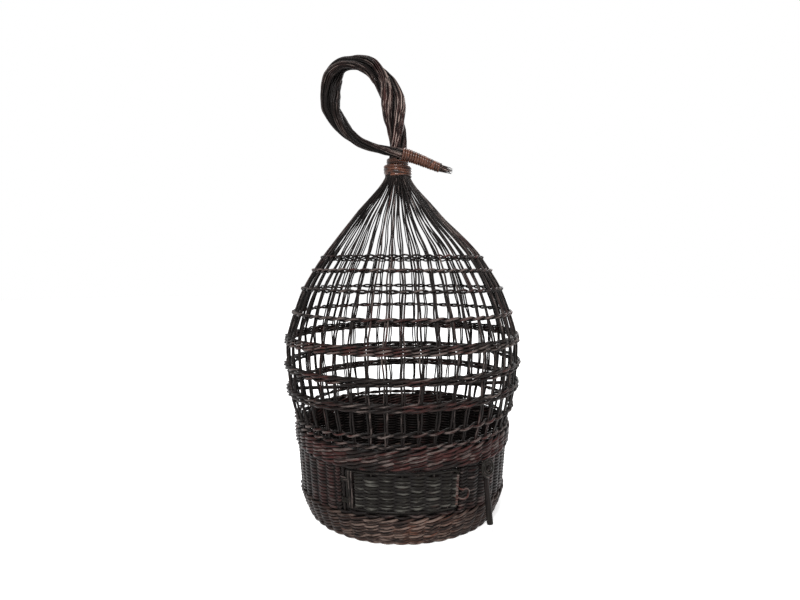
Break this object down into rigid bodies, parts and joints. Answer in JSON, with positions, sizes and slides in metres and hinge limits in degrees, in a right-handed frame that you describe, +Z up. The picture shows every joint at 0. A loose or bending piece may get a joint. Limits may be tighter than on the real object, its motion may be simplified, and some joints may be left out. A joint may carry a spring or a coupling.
{
  "type": "birdcage",
  "caption": "Round free-standing birdcage woven from stained willow rods, with a hinged woven door, a turning peg, a perch and a twisted carrying loop.",
  "frame": {"origin": "on the floor under the cage's axis", "axes": "+Z up, +X to the right seen from the front, the door faces -Y"},
  "size_m": [0.3076, 0.3072, 0.5837],
  "materials": {
    "stake_rod": "dark stained willow, satin",
    "weaving_rod": "brown stained willow, satin",
    "cane": "copper brown cane, glossy"
  },
  "bodies": {
    "root": {"foot_border": "weaving_rod", "base_sticks": "weaving_rod", "base_weave": "weaving_rod", "wall_weave_outer": "weaving_rod", "wall_weave_inner": "weaving_rod", "stakes_01": "stake_rod", "stakes_02": "stake_rod", "stakes_03": "stake_rod", "stakes_04": "stake_rod", "stakes_05": "stake_rod", "stakes_06": "stake_rod", "stakes_07": "stake_rod", "stakes_08": "stake_rod", "stakes_09": "stake_rod", "stakes_10": "stake_rod", "stakes_11": "stake_rod", "stakes_12": "stake_rod", "stakes_13": "stake_rod", "stakes_14": "stake_rod", "stakes_15": "stake_rod", "stakes_16": "stake_rod", "stakes_17": "stake_rod", "stakes_18": "stake_rod", "stakes_19": "stake_rod", "stakes_20": "stake_rod", "stakes_21": "stake_rod", "stakes_22": "stake_rod", "stakes_23": "stake_rod", "stakes_24": "stake_rod", "hinge_post": "stake_rod", "closing_post": "stake_rod", "edge_stake": "stake_rod", "wall_top": "weaving_rod", "band_d": "weaving_rod", "band_c_1": "weaving_rod", "band_c_2": "weaving_rod", "band_b_1": "weaving_rod", "band_b_2": "weaving_rod", "band_a_1": "weaving_rod", "band_a_2": "weaving_rod", "ring_6": "weaving_rod", "ring_7": "weaving_rod", "ring_8": "weaving_rod", "ring_9": "weaving_rod", "perch": "stake_rod", "neck_binding": "cane", "handle_strand_1": "stake_rod", "handle_strand_2": "stake_rod", "handle_strand_3": "stake_rod", "tail_binding": "cane", "latch_pin": "stake_rod", "latch_button": "cane"},
    "door": {"door_frame": "stake_rod", "door_weave_outer": "weaving_rod", "door_weave_inner": "weaving_rod", "hinge_tie_lower": "cane", "hinge_tie_upper": "cane", "door_pull": "cane"},
    "peg": {"latch_peg": "stake_rod"}
  },
  "joints": [
    {"name": "door_hinge", "type": "hinge", "parent": "root", "child": "door", "pos_m": [-0.06575, -0.11388, 0.063], "axis": [0.0377, 0.0653, -0.9971], "range_deg": [0, 110]},
    {"name": "latch_swing", "type": "hinge", "parent": "root", "child": "peg", "pos_m": [0.09404, -0.10724, 0.084], "axis": [0.6539, -0.7456, 0.1288], "range_deg": [-90, 90]}
  ]
}
